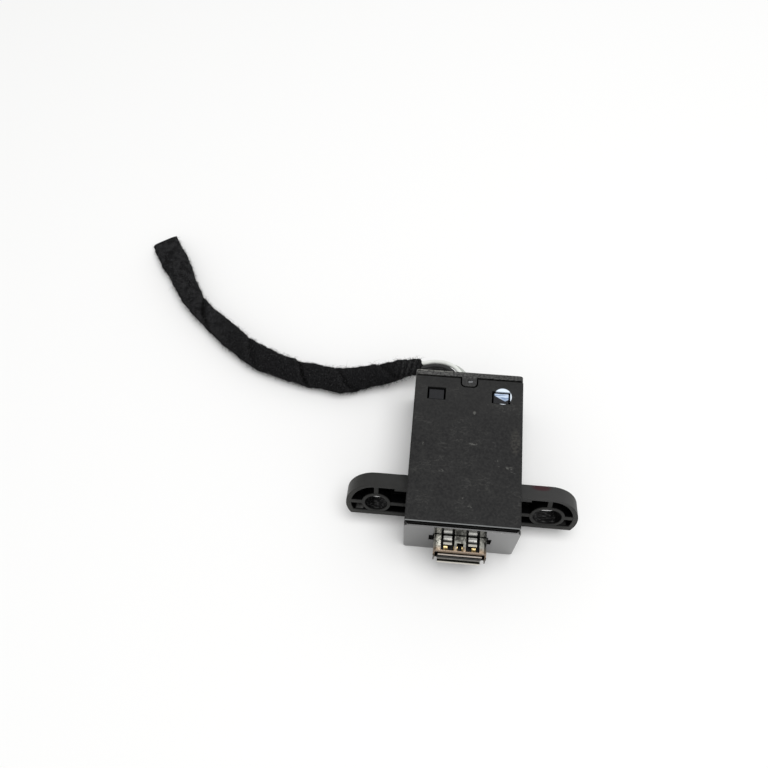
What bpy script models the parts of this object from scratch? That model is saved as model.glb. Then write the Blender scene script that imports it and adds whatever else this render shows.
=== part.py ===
"""Panel-mount USB socket module: a moulded housing with two tilted ears, a lid, a rear cap, and a taped loom.

The frame is in metres with +Z up. X runs across the housing, the socket's mouth looks along -Y, and the
origin is at the middle of the underside of everything but the loom.
"""
import math

import bmesh
import bpy
from mathutils import Matrix, Vector

MM = 0.001

# Clearances
FIT = 0.3 * MM              # between pieces that touch or seat
FINE_FIT = 0.2 * MM         # between the small pieces inside the socket

# Housing: tub, lid and rear cap
HOUSING_WIDTH = 28.4 * MM
HOUSING_HEIGHT = 19.5 * MM
WALL = 1.6 * MM
FLOOR = 1.6 * MM
CORNER_RADIUS = 1.0 * MM
LID_LENGTH = 39.9 * MM
LID_THICKNESS = 1.6 * MM
LID_EDGE = 0.25 * MM
LID_RIM = 1.0 * MM          # rims under the lid, inside the tub's walls
POST_REACH = 2.4 * MM       # posts that hold the board down
POST_LENGTH = 1.4 * MM
POST_PLACES = (0.2, 0.8)    # along the board, as shares of its length
FACE_LEAD = 1.25 * MM       # front face ahead of the lid's front edge
LIP_THICKNESS = 0.3 * MM    # thin top edge of the front face
LIP_DROP = 0.1 * MM         # below the lid's top
GROOVE_DEPTH = 3.4 * MM     # dark groove between lip and lid
GROOVE_CORNER = 0.7 * MM
CAP_THICKNESS = 1.4 * MM
CAP_EDGE = 0.3 * MM

# Socket
SHELL_WIDTH = 13.1 * MM
SHELL_HEIGHT = 5.7 * MM
SHELL_LENGTH = 14.0 * MM
SHELL_SHEET = 0.35 * MM
SHELL_CORNER = 0.8 * MM
SHELL_LEAD = 5.05 * MM      # upper lip ahead of the front face
FLARE = 0.55 * MM           # upper lip, turned up
FLARE_LENGTH = 0.9 * MM
LOWER_FLARE = 0.3 * MM      # lower lip, rolled down at its very edge
LOWER_FLARE_LENGTH = 0.4 * MM
LOWER_LEAD = 0.3 * MM       # lower lip ahead of the upper one
FINGER_WIDTH = 2.15 * MM
FINGER_SPREAD = 3.1 * MM    # finger's centre from the socket's middle
FINGER_SLOT = 0.6 * MM
FINGER_DIP = 0.75 * MM
LOWER_DIP = 0.4 * MM        # the lower springs clear the tongue
WINDOW_START = 1.2 * MM     # front edge of the finger windows behind the mouth
FINGER_TIP = 2.7 * MM       # finger's free end behind the mouth
FINGER_ROOT = 8.6 * MM      # finger's root behind the mouth
PEEP_WIDTH = 1.6 * MM       # small middle window
PEEP_LENGTH = 1.9 * MM
SLOT_OVER = 0.6 * MM        # the face's slot above the shell
NOTCH_DEPTH = 1.0 * MM      # key notches at both sides of the slot
NOTCH_HEIGHT = 4.2 * MM
TONGUE_SIDE_GAP = 0.65 * MM # beside the tongue
TONGUE_THICKNESS = 1.84 * MM
TONGUE_GAP = 0.7 * MM       # under the tongue
TONGUE_SETBACK = 0.3 * MM   # behind the mouth
CONTACT_WIDTH = 1.0 * MM
CONTACT_SHEET = 0.25 * MM
CONTACT_INNER = 1.0 * MM    # middle pair's centres from the socket's middle
CONTACT_OUTER = 3.5 * MM
CONTACT_BOW = 0.75 * MM
LEG_LENGTH = 1.8 * MM

# Board and what sits on it
HEADROOM = 2.15 * MM        # between board and lid
BOARD_THICKNESS = 1.6 * MM
BOARD_LENGTH = 25.5 * MM
BOARD_SETBACK = 2.2 * MM    # behind the front face
BOARD_SIDE_GAP = 0.7 * MM
TAIL_RISE = 0.55 * MM       # tails and legs above the board
HEADER_WIDTH = 12.4 * MM
HEADER_LENGTH = 6.0 * MM
HEADER_HEIGHT = 5.0 * MM
HEADER_WALL = 0.8 * MM
PIN_PITCH = 2.5 * MM
PIN_SIZE = 0.6 * MM
PLUG_LENGTH = 7.0 * MM
PLUG_REACH = 3.6 * MM       # plug's depth in the header
PIN_REACH = 1.4 * MM        # pin's depth in the plug
CHIP_WAIST = 0.92           # a small part's body against its end caps, in width
CHIP_LAP = 0.05 * MM        # end caps over the body
CHIP_ROWS = (0.36, 0.54, 0.72)   # rows of small parts, as shares of the way from the tails to the pins
CAPACITOR_X = 6 * MM

# Ears
EAR_TILT = math.radians(20)
EAR_THICKNESS = 4.4 * MM
EAR_HOLE_X = 22.0 * MM
EAR_SETBACK = 7.85 * MM     # hole's centre behind the front face
EAR_DROP = 7.85 * MM        # hole's centre under the tub's rim
EAR_RADIUS = 7.5 * MM
EAR_SHIFT_OUT = 0.35 * MM   # outline's centre from the hole's centre
EAR_SHIFT_DOWN = 0.45 * MM
EAR_BELOW = 4.6 * MM        # flat lower edge below the hole's centre
EAR_RIM = 1.3 * MM
EAR_TOP_RIM = 0.65 * MM
EAR_BACK = 1.1 * MM
EAR_STEP_LENGTH = 3.2 * MM
EAR_STEP = 0.95 * MM
RING_BORE = 2.95 * MM
RING_WALL = 0.8 * MM
SLOT_TRAVEL = 1.5 * MM      # the right ear's hole is a slot
SPOKE = 1.15 * MM

# Snaps and rear cap
SNAP_X = 8.45 * MM
SNAP_WINDOW_WIDTH = 4.8 * MM
SNAP_WINDOW_LENGTH = 3.5 * MM
SNAP_WINDOW_SETBACK = 3.3 * MM   # window's rear edge ahead of the seam
SNAP_GAP = 0.45 * MM
SNAP_DROP = 0.45 * MM
ARM_THICKNESS = 1.2 * MM
TONGUE_TAB_WIDTH = 3.9 * MM
TONGUE_TAB_LENGTH = 2.4 * MM
TONGUE_TAB_THICKNESS = 1.3 * MM
TAB_GAP = 0.35 * MM
SPIGOT_DEPTH = 2.5 * MM
SPIGOT_WALL = 1.0 * MM
OUTLET_WIDTH = 7.6 * MM
OUTLET_HEIGHT = 3.8 * MM
OUTLET_X = -1.8 * MM
OUTLET_Z = 9.6 * MM

# Wires and loom
WIRE_DIAMETER = 1.2 * MM
WIRE_SPACING = 1.4 * MM
LOOM_DIAMETER = 6.4 * MM
LOOM_SLIM = 0.7             # where the tape starts, against the full diameter
LOOM_GROWTH = 26 * MM       # distance to the full diameter

# Places worked out from the sizes
OVERALL_LENGTH = LOWER_LEAD + SHELL_LEAD + FACE_LEAD + LID_LENGTH + FIT + CAP_THICKNESS
MOUTH_Y = LOWER_LEAD - OVERALL_LENGTH / 2
FACE_Y = MOUTH_Y + SHELL_LEAD
LID_Y = FACE_Y + FACE_LEAD
SEAM_Y = LID_Y + LID_LENGTH
CAP_Y = SEAM_Y + FIT
REAR_Y = CAP_Y + CAP_THICKNESS
HALF_WIDTH = HOUSING_WIDTH / 2
INNER_HALF = HALF_WIDTH - WALL
LID_UNDER = HOUSING_HEIGHT - LID_THICKNESS
TUB_TOP = LID_UNDER - FIT
BOARD_TOP = LID_UNDER - HEADROOM
BOARD_UNDER = BOARD_TOP - BOARD_THICKNESS
SHELL_Z = BOARD_UNDER - FIT - SHELL_HEIGHT / 2
SHELL_REAR_Y = MOUTH_Y + SHELL_LENGTH
BOARD_Y = FACE_Y + BOARD_SETBACK
BOARD_REAR_Y = BOARD_Y + BOARD_LENGTH
BOARD_HALF = INNER_HALF - BOARD_SIDE_GAP
EAR_Y = FACE_Y + EAR_SETBACK
EAR_Z = TUB_TOP - EAR_DROP
TONGUE_WIDTH = SHELL_WIDTH - 2 * (SHELL_SHEET + TONGUE_SIDE_GAP)
TONGUE_UNDER = SHELL_Z - SHELL_HEIGHT / 2 + SHELL_SHEET + TONGUE_GAP
TONGUE_TOP = TONGUE_UNDER + TONGUE_THICKNESS
CONTACT_Z = TONGUE_TOP - CONTACT_SHEET / 2 - 0.05 * MM
TAIL_Y = SHELL_REAR_Y + 1.1 * MM
TAIL_TOP = BOARD_TOP + TAIL_RISE
HEADER_TOP = BOARD_UNDER - FIT
HEADER_Z = HEADER_TOP - HEADER_HEIGHT / 2
HEADER_REAR_Y = BOARD_REAR_Y + 0.5 * MM
HEADER_Y = HEADER_REAR_Y - HEADER_LENGTH
PLUG_Y = HEADER_REAR_Y - PLUG_REACH
PLUG_REAR_Y = PLUG_Y + PLUG_LENGTH

# Loom's middle line, in mm: X, distance behind the rear cap, Z
LOOM_ROUTE = [
    (-13.4, 7.2, 7.0), (-16.6, 7.0, 6.3), (-20.0, 6.4, 5.4), (-24.2, 5.3, 4.5), (-28.2, 4.3, 3.8),
    (-32.6, 3.3, 3.4), (-37.2, 2.9, 3.25), (-42.0, 3.3, 3.25), (-47.0, 4.2, 3.25), (-52.2, 5.3, 3.25),
    (-57.2, 6.9, 3.25), (-62.0, 9.2, 3.25), (-66.8, 12.0, 3.25), (-71.2, 15.1, 3.25), (-75.8, 18.9, 3.25),
    (-80.4, 22.8, 3.25), (-84.8, 27.4, 3.25), (-88.3, 32.6, 3.25), (-91.3, 37.9, 3.25), (-94.4, 42.6, 3.25),
    (-97.6, 47.4, 3.25),
]
# Bundle's middle line from the outlet to the loom, in the same terms
BUNDLE_ROUTE = [
    (-1.8, 0.0, 9.6), (-1.75, 1.6, 9.6), (-2.3, 3.4, 9.55), (-3.5, 5.1, 9.4), (-5.2, 6.4, 9.1),
    (-7.4, 7.2, 8.65), (-9.9, 7.5, 8.0), (-12.2, 7.35, 7.3), (-13.4, 7.2, 7.0),
]


def start_scene():
    """Empties the scene and makes one collection for the parts and one for the tools that shape them."""
    for old in list(bpy.data.objects):
        bpy.data.objects.remove(old, do_unlink=True)
    parts = bpy.data.collections.new("usb_connector")
    tools = bpy.data.collections.new("shaping_tools")
    bpy.context.scene.collection.children.link(parts)
    bpy.context.scene.collection.children.link(tools)
    return parts, tools


PARTS, TOOLS = start_scene()


def link(obj, tool):
    """Puts an object in its collection; a tool is drawn as wire and never rendered."""
    if tool:
        TOOLS.objects.link(obj)
        obj.hide_render = True
        obj.display_type = "WIRE"
    else:
        PARTS.objects.link(obj)
    return obj


def finish(obj, color, roughness, metallic=0.0):
    """Gives a part its own material."""
    material = bpy.data.materials.new(obj.name)
    material.use_nodes = True
    shader = material.node_tree.nodes["Principled BSDF"]
    shader.inputs["Base Color"].default_value = (*color, 1.0)
    shader.inputs["Roughness"].default_value = roughness
    shader.inputs["Metallic"].default_value = metallic
    obj.data.materials.clear()
    obj.data.materials.append(material)
    return obj


def mesh_object(name, shape, tool):
    """Turns a bmesh into an object."""
    bmesh.ops.recalc_face_normals(shape, faces=shape.faces)
    mesh = bpy.data.meshes.new(name)
    shape.to_mesh(mesh)
    shape.free()
    return link(bpy.data.objects.new(name, mesh), tool)


def block(name, low, high, tool=True):
    """A box between two corners."""
    low = Vector(low)
    high = Vector(high)
    shape = bmesh.new()
    bmesh.ops.create_cube(shape, size=1.0)
    bmesh.ops.scale(shape, vec=high - low, verts=shape.verts)
    bmesh.ops.translate(shape, vec=(low + high) / 2, verts=shape.verts)
    return mesh_object(name, shape, tool)


def drum(name, radius, depth, middle, axis="Z", sides=24):
    """A cylinder about its middle, along X, Y or Z."""
    turn = {"X": Matrix.Rotation(math.pi / 2, 4, "Y"), "Y": Matrix.Rotation(math.pi / 2, 4, "X"),
            "Z": Matrix.Identity(4)}[axis]
    shape = bmesh.new()
    bmesh.ops.create_cone(shape, cap_ends=True, segments=sides, radius1=radius, radius2=radius, depth=depth)
    bmesh.ops.transform(shape, matrix=Matrix.Translation(middle) @ turn, verts=shape.verts)
    return mesh_object(name, shape, True)


def arc(middle, radius, start, end, steps):
    """Points on an arc, angles in degrees, both ends included."""
    angles = [math.radians(start + (end - start) * i / steps) for i in range(steps + 1)]
    return [(middle[0] + radius * math.cos(a), middle[1] + radius * math.sin(a)) for a in angles]


def rounded(half_x, half_y, radius, steps=4):
    """A rectangle's outline with round corners, about its middle."""
    points = []
    for quarter, (sx, sy) in enumerate(((1, 1), (-1, 1), (-1, -1), (1, -1))):
        corner = (sx * (half_x - radius), sy * (half_y - radius))
        points += arc(corner, radius, 90 * quarter, 90 * quarter + 90, steps)
    return points


def flat(name, outlines, thickness, placement, tool=True):
    """A flat outline with its holes, as thick as asked and centred on its plane, then placed by a matrix."""
    curve = bpy.data.curves.new(name, "CURVE")
    curve.dimensions = "2D"
    curve.fill_mode = "BOTH"
    curve.extrude = thickness / 2
    for points in outlines:
        spline = curve.splines.new("POLY")
        spline.points.add(len(points) - 1)
        for point, (x, y) in zip(spline.points, points):
            point.co = (x, y, 0.0, 1.0)
        spline.use_cyclic_u = True
    return solid_from_curve(name, curve, placement, tool)


def solid_from_curve(name, curve, placement, tool):
    """Makes a curve's solid a mesh of its own, welded where its caps meet its sides."""
    source = bpy.data.objects.new(name + "_outline", curve)
    source.matrix_world = placement
    TOOLS.objects.link(source)
    bpy.context.view_layer.update()
    evaluated = source.evaluated_get(bpy.context.evaluated_depsgraph_get())
    mesh = bpy.data.meshes.new_from_object(evaluated)
    shape = bmesh.new()
    shape.from_mesh(mesh)
    bmesh.ops.remove_doubles(shape, verts=shape.verts, dist=0.00001)
    bmesh.ops.recalc_face_normals(shape, faces=shape.faces)
    shape.to_mesh(mesh)
    shape.free()
    mesh.name = name
    obj = bpy.data.objects.new(name, mesh)
    obj.matrix_world = placement
    bpy.data.objects.remove(source, do_unlink=True)
    return link(obj, tool)


def upright(y, x=0.0, z=0.0):
    """Stands an outline drawn in X and Z on the plane at y."""
    return Matrix.Translation((x, y, z)) @ Matrix.Rotation(math.pi / 2, 4, "X")


def across_x(x):
    """Turns an outline drawn in Y and Z to stand across X at x."""
    return Matrix(((0, 0, 1, x), (1, 0, 0, 0), (0, 1, 0, 0), (0, 0, 0, 1)))


def combine(obj, tool, operation):
    """Adds one exact Boolean step to an object."""
    step = obj.modifiers.new(tool.name, "BOOLEAN")
    step.operation = operation
    step.solver = "EXACT"
    step.object = tool


def cut(obj, *tools):
    for tool in tools:
        combine(obj, tool, "DIFFERENCE")


def join(obj, *tools):
    for tool in tools:
        combine(obj, tool, "UNION")


def smooth(obj, angle=35):
    """Shades round forms smooth and keeps edges sharper than the angle."""
    obj.data.shade_smooth()
    obj.data.set_sharp_from_angle(angle=math.radians(angle))


def soften(obj, width, angle=40, segments=1):
    """Rounds an object's sharp edges."""
    step = obj.modifiers.new("soft_edges", "BEVEL")
    step.width = width
    step.segments = segments
    step.limit_method = "ANGLE"
    step.angle_limit = math.radians(angle)


def ear_outline(side, inset_side, inset_top, inset_below, root_x):
    """The ear's outline about its hole: flat below, a quarter turn at the outer top, open towards the box."""
    middle = (EAR_SHIFT_OUT, -EAR_SHIFT_DOWN)
    radius = EAR_RADIUS - inset_side
    squash = (EAR_RADIUS - inset_top) / radius
    below = -EAR_BELOW + inset_below
    drop = math.degrees(math.asin((below - middle[1]) / radius))
    points = [(root_x, below)]
    points += arc(middle, radius, drop, 0, 5)[:-1]
    points += [(x, middle[1] + (y - middle[1]) * squash) for x, y in arc(middle, radius, 0, 90, 12)]
    points.append((root_x, middle[1] + radius * squash))
    return [(side * x, y) for x, y in points]


def slot_outline(radius, travel, steps=12):
    """A round hole's outline, or a slot's where it has travel across."""
    if travel == 0:
        return arc((0, 0), radius, 0, 360, 2 * steps)[:-1]
    return arc((travel / 2, 0), radius, -90, 90, steps) + arc((-travel / 2, 0), radius, 90, 270, steps)


def ear(name, side, travel):
    """One ear: a tilted plate with a rim, a ring round its hole, three spokes and a thin back."""
    tilt = Matrix.Rotation(math.pi / 2 - EAR_TILT, 4, "X")
    tilt = Matrix.Translation((side * EAR_HOLE_X, EAR_Y, EAR_Z)) @ tilt
    wall = EAR_HOLE_X - HALF_WIDTH
    root = -(wall + WALL / 2)
    rib_root = -(wall + WALL * 0.35)
    depth = EAR_THICKNESS - EAR_BACK

    def layer(front, thickness):
        return tilt @ Matrix.Translation((0, 0, front - thickness / 2))

    plate = flat(name, [ear_outline(side, 0, 0, 0, root)], EAR_THICKNESS, layer(0, EAR_THICKNESS))
    pocket = flat(name + "_pocket", [ear_outline(side, EAR_RIM, EAR_TOP_RIM, EAR_RIM, root - WALL)],
                  depth + MM, layer(MM, depth + MM))
    cut(plate, pocket)
    bite = FIT / 2
    ring = flat(name + "_ring", [slot_outline(RING_BORE + RING_WALL, travel)], EAR_THICKNESS - 1.5 * bite,
                layer(-bite / 2, EAR_THICKNESS - 1.5 * bite))
    top = EAR_RADIUS - EAR_SHIFT_DOWN
    reach = EAR_RADIUS + EAR_SHIFT_OUT - EAR_RIM / 2
    half = SPOKE / 2
    spoke_up = [(-half, RING_BORE + RING_WALL / 2), (half, RING_BORE + RING_WALL / 2),
                (half, top - EAR_TOP_RIM / 2), (-half, top - EAR_TOP_RIM / 2)]
    start = RING_BORE + RING_WALL / 2 + travel / 2
    near = side * start
    spoke_out = [(near, -half), (side * reach, -half), (side * reach, half), (near, half)]
    spoke_in = [(-near, -half), (side * rib_root, -half), (side * rib_root, half), (-near, half)]
    step_end = -wall + EAR_STEP_LENGTH
    under = top - EAR_TOP_RIM - EAR_STEP
    root_step = [(side * rib_root, under), (side * step_end, under),
                 (side * (step_end - EAR_STEP / 2), top - bite), (side * rib_root, top - bite)]
    thin = EAR_THICKNESS - 2 * bite
    for label, points in (("up", spoke_up), ("out", spoke_out), ("in", spoke_in), ("step", root_step)):
        join(plate, flat(name + "_" + label, [points], thin, layer(-bite, thin)))
    join(plate, ring)
    bore = flat(name + "_bore", [slot_outline(RING_BORE, travel)], EAR_THICKNESS + 2 * MM,
                layer(MM, EAR_THICKNESS + 2 * MM))
    cut(plate, bore)
    return plate


def lower_housing():
    """The tub: floor, side walls, front face with the socket's slot, board ribs and both ears."""
    length = SEAM_Y - FACE_Y
    radius = CORNER_RADIUS
    top = HOUSING_HEIGHT - LIP_DROP
    corner = radius * 0.6
    section = arc((HALF_WIDTH - corner, top - corner), corner, 0, 90, 3)
    section += arc((-HALF_WIDTH + corner, top - corner), corner, 90, 180, 3)
    section += arc((-HALF_WIDTH + radius, radius), radius, 180, 270, 4)
    section += arc((HALF_WIDTH - radius, radius), radius, 270, 360, 4)
    tub = flat("lower_housing", [section], length, upright(FACE_Y + length / 2), tool=False)

    # Behind the front face the rim is lower, so that the lid lies on it, and the tub is hollow
    over = HOUSING_HEIGHT + MM
    beyond = HALF_WIDTH + MM
    cut(tub, block("lid_seat", (-beyond, LID_Y - FIT, TUB_TOP), (beyond, SEAM_Y + MM, over)))
    cut(tub, block("tub_hollow", (-INNER_HALF, FACE_Y + WALL, FLOOR), (INNER_HALF, SEAM_Y + MM, over)))

    # Groove behind the face's thin lip
    groove_front = FACE_Y + LIP_THICKNESS
    end = HALF_WIDTH - FIT
    groove = [(end - GROOVE_CORNER, groove_front), (end, LID_Y - FIT), (end, LID_Y), (-end, LID_Y),
              (-end, LID_Y - FIT), (-end + GROOVE_CORNER, groove_front)]
    depth = GROOVE_DEPTH + MM
    middle = Matrix.Translation((0, 0, top - GROOVE_DEPTH + depth / 2))
    cut(tub, flat("lip_groove", [groove], depth, middle))

    # Slot for the socket, with a key notch at each side
    half_x = SHELL_WIDTH / 2 + FIT
    half_z = (SHELL_HEIGHT + FIT + SLOT_OVER) / 2
    through = WALL + 2 * MM
    slot = flat("socket_slot", [rounded(half_x, half_z, SHELL_CORNER)], through,
                upright(FACE_Y + WALL / 2, z=SHELL_Z + (SLOT_OVER - FIT) / 2))
    low = SHELL_Z - SHELL_HEIGHT / 2
    key = block("socket_keys", (-half_x - NOTCH_DEPTH, FACE_Y - MM, low),
                (half_x + NOTCH_DEPTH, FACE_Y + WALL + MM, low + NOTCH_HEIGHT))
    cut(tub, slot, key)

    # Ribs along both walls that carry the board
    rib_top = BOARD_UNDER - FIT
    for side in (-1, 1):
        for index in range(3):
            y = BOARD_Y + BOARD_LENGTH * (0.12 + 0.38 * index)
            inner = side * (BOARD_HALF - MM)
            outer = side * (INNER_HALF + WALL * 0.3)
            join(tub, block("board_rib", (min(inner, outer), y, FLOOR / 2),
                            (max(inner, outer), y + 1.2 * MM, rib_top)))
    join(tub, ear("left_ear", -1, 0.0), ear("right_ear", 1, SLOT_TRAVEL))
    smooth(tub)
    return finish(tub, (0.035, 0.035, 0.036), 0.42)


def top_cover():
    """The lid: a flat plate with two snap windows, a notch for the cap's tab, inner rims and board posts."""
    low = (-HALF_WIDTH, LID_Y, LID_UNDER)
    lid = block("top_cover", low, (HALF_WIDTH, SEAM_Y, HOUSING_HEIGHT), tool=False)
    soften(lid, LID_EDGE)
    under = LID_UNDER - MM
    over = HOUSING_HEIGHT + MM
    window_y = SEAM_Y - SNAP_WINDOW_SETBACK
    for side in (-1, 1):
        middle = side * SNAP_X
        cut(lid, block("snap_window", (middle - SNAP_WINDOW_WIDTH / 2, window_y - SNAP_WINDOW_LENGTH, under),
                       (middle + SNAP_WINDOW_WIDTH / 2, window_y, over)))
    half = TONGUE_TAB_WIDTH / 2 + TAB_GAP
    reach = TONGUE_TAB_LENGTH + TAB_GAP
    radius = 1.2 * MM
    notch = arc((-half + radius, -reach + radius), radius, 180, 270, 4)
    notch += arc((half - radius, -reach + radius), radius, 270, 360, 4)
    notch += [(half, MM), (-half, MM)]
    depth = over - under
    cut(lid, flat("tab_notch", [notch], depth, Matrix.Translation((0, SEAM_Y, under + depth / 2))))
    rim_outer = INNER_HALF - FIT
    rim_front = FACE_Y + WALL + FIT
    rim_rear = SEAM_Y - SPIGOT_DEPTH - MM
    low = BOARD_TOP + FIT
    high = LID_UNDER + LID_THICKNESS / 3
    for side in (-1, 1):
        edges = sorted((side * rim_outer, side * (rim_outer - LID_RIM)))
        join(lid, block("lid_rim", (edges[0], rim_front, low), (edges[1], rim_rear, high)))
        for share in POST_PLACES:
            y = BOARD_Y + BOARD_LENGTH * share
            edges = sorted((side * (rim_outer - LID_RIM / 2), side * (rim_outer - POST_REACH)))
            join(lid, block("board_post", (edges[0], y, low), (edges[1], y + POST_LENGTH, high)))
    return finish(lid, (0.04, 0.04, 0.041), 0.55)


def rear_cap():
    """The rear cap: a plate with a spigot, the wires' outlet, a tab over the lid and two snap arms."""
    half_height = HOUSING_HEIGHT / 2
    plate = flat("rear_cap", [rounded(HALF_WIDTH, half_height, CORNER_RADIUS)], CAP_THICKNESS,
                 upright(CAP_Y + CAP_THICKNESS / 2, z=half_height), tool=False)
    soften(plate, CAP_EDGE, angle=60, segments=2)
    inside = CAP_Y + CAP_THICKNESS / 2
    outer = INNER_HALF - FIT
    low = FLOOR + FIT
    spigot_top = LID_UNDER - FIT
    front = SEAM_Y - SPIGOT_DEPTH
    join(plate, block("spigot_floor", (-outer, front, low), (outer, inside, low + SPIGOT_WALL)))
    middle = low + SPIGOT_WALL / 2
    for side in (-1, 1):
        edges = sorted((side * outer, side * (outer - SPIGOT_WALL)))
        join(plate, block("spigot_side", (edges[0], front, middle), (edges[1], inside, spigot_top)))

    # Tab that keys into the lid's notch, with a small gate mark
    half = TONGUE_TAB_WIDTH / 2
    radius = 1.0 * MM
    reach = TONGUE_TAB_LENGTH
    tab = arc((-half + radius, -reach + radius), radius, 180, 270, 4)
    tab += arc((half - radius, -reach + radius), radius, 270, 360, 4)
    tab += [(half, inside - SEAM_Y), (-half, inside - SEAM_Y)]
    tab_middle = HOUSING_HEIGHT - TONGUE_TAB_THICKNESS / 2
    join(plate, flat("tab", [tab], TONGUE_TAB_THICKNESS, Matrix.Translation((0, SEAM_Y, tab_middle))))
    cut(plate, drum("gate_mark", 0.5 * MM, 0.5 * MM, (0, SEAM_Y - 0.9 * MM, HOUSING_HEIGHT), sides=16))

    # Snap arms under the lid with a catch in each window
    catch_rear = SEAM_Y - SNAP_WINDOW_SETBACK - SNAP_GAP
    catch_front = SEAM_Y - SNAP_WINDOW_SETBACK - SNAP_WINDOW_LENGTH + FIT
    half_catch = SNAP_WINDOW_WIDTH / 2 - SNAP_GAP
    arm_low = spigot_top - ARM_THICKNESS
    for side in (-1, 1):
        middle = side * SNAP_X
        join(plate, block("snap_arm", (middle - half_catch, catch_front, arm_low),
                          (middle + half_catch, inside, spigot_top)))
        join(plate, block("snap_catch", (middle - half_catch, catch_front, arm_low + ARM_THICKNESS / 2),
                          (middle + half_catch, catch_rear, HOUSING_HEIGHT - SNAP_DROP)))
    outlet = rounded(OUTLET_WIDTH / 2, OUTLET_HEIGHT / 2, OUTLET_HEIGHT / 2 - 0.01 * MM, steps=6)
    cut(plate, flat("outlet", [outlet], CAP_THICKNESS + 2 * MM, upright(inside, OUTLET_X, OUTLET_Z)))
    smooth(plate)
    return finish(plate, (0.045, 0.045, 0.045), 0.5)


def shell_surface():
    """The shell's outer surface: a rounded-rectangle ring carried from the rear to the lips of the mouth."""
    lower_y = MOUTH_Y - LOWER_LEAD
    upper = [(SHELL_REAR_Y, 0.0), (MOUTH_Y + FLARE_LENGTH, 0.0),
             (MOUTH_Y + FLARE_LENGTH * 0.5, FLARE * 0.35), (MOUTH_Y, FLARE)]
    lower = [(SHELL_REAR_Y, 0.0), (lower_y + LOWER_FLARE_LENGTH, 0.0),
             (lower_y + LOWER_FLARE_LENGTH * 0.5, LOWER_FLARE * 0.3), (lower_y, LOWER_FLARE)]
    shape = bmesh.new()
    rings = []
    for over, under in zip(upper, lower):
        ring = []
        for x, z in rounded(SHELL_WIDTH / 2, SHELL_HEIGHT / 2, SHELL_CORNER):
            y, flare = over if z > 0 else (under[0], -under[1])
            ring.append(shape.verts.new((x, y, SHELL_Z + z + flare)))
        rings.append(ring)
    for near, far in zip(rings, rings[1:]):
        for index in range(len(near)):
            follow = (index + 1) % len(near)
            shape.faces.new((near[index], near[follow], far[follow], far[index]))
    return shape


def finger(name, x, face, flip, depth):
    """A leaf spring: rooted in the sheet, it dips into the socket and turns up again at its free end."""
    sheet = SHELL_SHEET - 0.04 * MM
    tip = MOUTH_Y + FINGER_TIP
    root = MOUTH_Y + FINGER_ROOT + 0.5 * MM
    span = root - tip
    steps = 12
    upper = []
    lower = []
    for index in range(steps + 1):
        share = index / steps
        # Straight at the root, deepest a quarter of the way behind the tip, and halfway up again at the tip
        dip = depth * math.sin(math.pi * min(1.0, (1 - share) / 0.78 * 0.5)) ** 2
        if share < 0.22:
            dip = depth * (0.45 + 0.55 * math.sin(math.pi / 2 * share / 0.22))
        height = face - flip * (0.02 * MM + dip)
        y = tip + span * share
        upper.append((y, height))
        lower.append((y, height - flip * sheet))
    return flat(name, [upper + lower[::-1]], FINGER_WIDTH, across_x(x))


def usb_shell():
    """The stamped steel shell: flared lips cut apart at the corners, leaf springs, and legs for the board."""
    shape = shell_surface()
    mesh = bpy.data.meshes.new("usb_shell")
    shape.to_mesh(mesh)
    shape.free()
    shell = link(bpy.data.objects.new("usb_shell", mesh), False)
    sheet = shell.modifiers.new("sheet", "SOLIDIFY")
    sheet.thickness = SHELL_SHEET
    sheet.offset = -1.0

    half_x = SHELL_WIDTH / 2
    half_z = SHELL_HEIGHT / 2
    relief = SHELL_CORNER + 0.35 * MM
    far = 2 * MM
    for sx in (-1, 1):
        for sz in (-1, 1):
            xs = sorted((sx * (half_x - relief), sx * (half_x + far)))
            zs = sorted((SHELL_Z + sz * (half_z - relief), SHELL_Z + sz * (half_z + far)))
            cut(shell, block("corner_relief", (xs[0], MOUTH_Y - LOWER_LEAD - MM, zs[0]),
                             (xs[1], MOUTH_Y + FLARE_LENGTH * 0.8, zs[1])))

    # Leaf springs above and below, each in its own window
    slot = FINGER_WIDTH / 2 + FINGER_SLOT
    for flip, depth in ((1, FINGER_DIP), (-1, LOWER_DIP)):
        face = SHELL_Z + flip * half_z
        zs = sorted((face - flip * (SHELL_SHEET + 0.3 * MM), face + flip * MM))
        for side in (-1, 1):
            middle = side * FINGER_SPREAD
            cut(shell, block("spring_window", (middle - slot, MOUTH_Y + WINDOW_START, zs[0]),
                             (middle + slot, MOUTH_Y + FINGER_ROOT, zs[1])))
            join(shell, finger("leaf_spring", middle, face, flip, depth))
    peep_y = MOUTH_Y + WINDOW_START
    cut(shell, block("peep_window", (-PEEP_WIDTH / 2, peep_y, SHELL_Z + half_z - MM),
                     (PEEP_WIDTH / 2, peep_y + PEEP_LENGTH, SHELL_Z + half_z + MM)))

    # Legs that rise through the board
    for side in (-1, 1):
        xs = sorted((side * (half_x - 0.02 * MM), side * (half_x - SHELL_SHEET + 0.02 * MM)))
        for y in leg_places():
            join(shell, block("board_leg", (xs[0], y - LEG_LENGTH / 2, SHELL_Z),
                              (xs[1], y + LEG_LENGTH / 2, TAIL_TOP)))
    smooth(shell, 30)
    return finish(shell, (0.72, 0.70, 0.67), 0.25, 1.0)


def leg_places():
    """Where the shell's legs stand along Y, clear of the board's front edge and of the shell's end."""
    first = max(BOARD_Y, FACE_Y + WALL) + FIT + 0.6 * MM + LEG_LENGTH / 2
    return (first, SHELL_REAR_Y - 0.3 * MM - LEG_LENGTH / 2)


def contact_places():
    return (-CONTACT_OUTER, -CONTACT_INNER, CONTACT_INNER, CONTACT_OUTER)


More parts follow.
